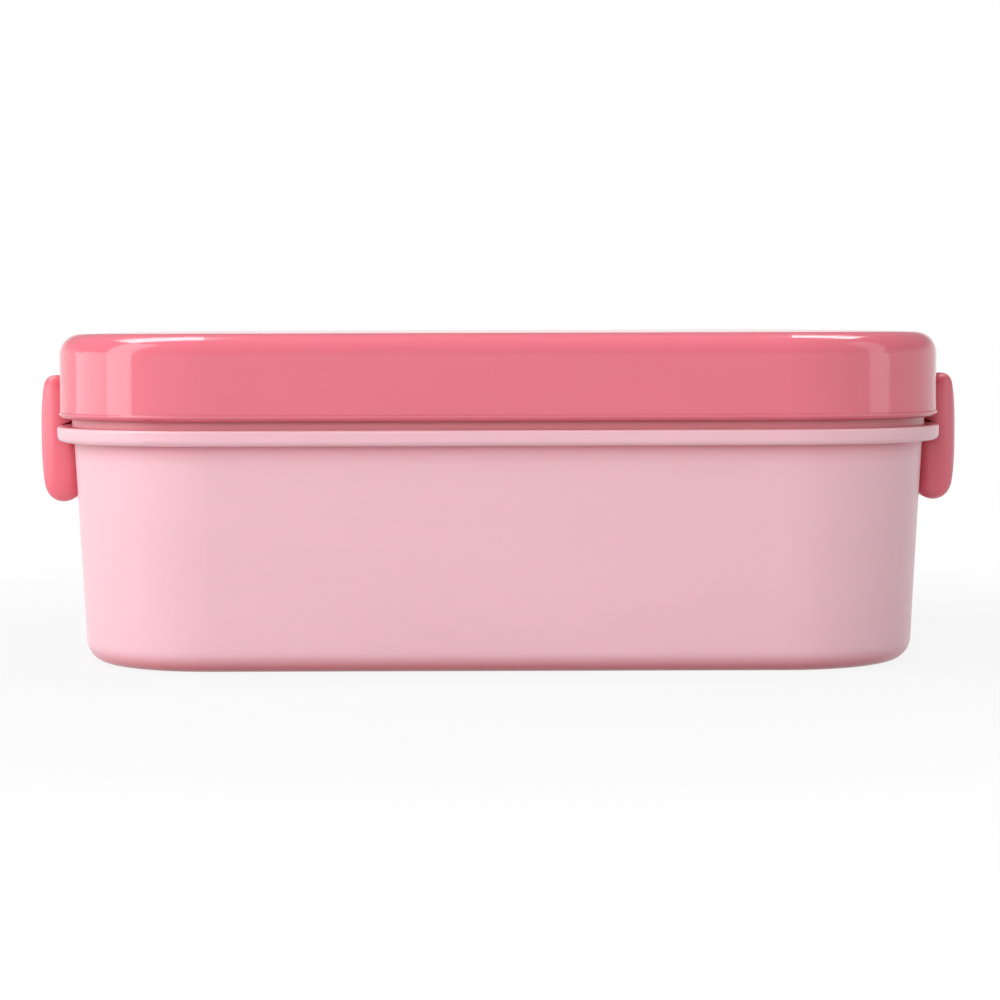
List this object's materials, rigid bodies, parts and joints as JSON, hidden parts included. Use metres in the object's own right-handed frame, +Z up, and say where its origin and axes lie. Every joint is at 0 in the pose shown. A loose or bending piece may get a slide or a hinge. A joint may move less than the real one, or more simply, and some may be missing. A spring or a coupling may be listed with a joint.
{
  "type": "bento lunch box",
  "caption": "Tapered rounded-rectangular lunch box with a rim flange, sealed lid, snap clips on its ends, and a lift-out tray with divider, spoon and fork inside.",
  "frame": {"origin": "middle of the box's base, on the surface it stands on", "axes": "+X along the long side, towards the right clip; +Y from the front side to the back; +Z up"},
  "size_m": [0.1842, 0.12, 0.065],
  "materials": {
    "box": "satin light pink polypropylene",
    "bento_tray": "smooth off-white polypropylene",
    "tray_divider": "smooth off-white polypropylene",
    "spoon": "glossy deep pink",
    "fork": "glossy deep pink",
    "lid_seal": "milky silicone",
    "lid": "glossy deep pink",
    "clip_left": "glossy deep pink",
    "clip_right": "glossy deep pink"
  },
  "bodies": {
    "box": {"box": "box"},
    "tray": {"bento_tray": "bento_tray"},
    "divider": {"tray_divider": "tray_divider"},
    "spoon": {"spoon": "spoon"},
    "fork": {"fork": "fork"},
    "lid": {"lid": "lid", "lid_seal": "lid_seal"},
    "clip_left": {"clip_left": "clip_left"},
    "clip_right": {"clip_right": "clip_right"}
  },
  "joints": [
    {"name": "tray_lift", "type": "slide", "parent": "box", "child": "tray", "axis": [0, 0, 1], "range_m": [0, 0.1]},
    {"name": "divider_lift", "type": "slide", "parent": "tray", "child": "divider", "axis": [0, 0, 1], "range_m": [0, 0.1]},
    {"name": "spoon_lift", "type": "slide", "parent": "divider", "child": "spoon", "axis": [0, 0, 1], "range_m": [0, 0.1]},
    {"name": "fork_lift", "type": "slide", "parent": "spoon", "child": "fork", "axis": [0, 0, 1], "range_m": [0, 0.1]},
    {"name": "lid_lift", "type": "slide", "parent": "fork", "child": "lid", "axis": [0, 0, 1], "range_m": [0, 0.1]},
    {"name": "clip_left_hinge", "type": "hinge", "parent": "lid", "child": "clip_left", "pos_m": [-0.089, 0, 0.0541], "axis": [0, 1, 0], "range_deg": [0, 110]},
    {"name": "clip_right_hinge", "type": "hinge", "parent": "lid", "child": "clip_right", "pos_m": [0.089, 0, 0.0541], "axis": [0, -1, 0], "range_deg": [0, 110]}
  ]
}
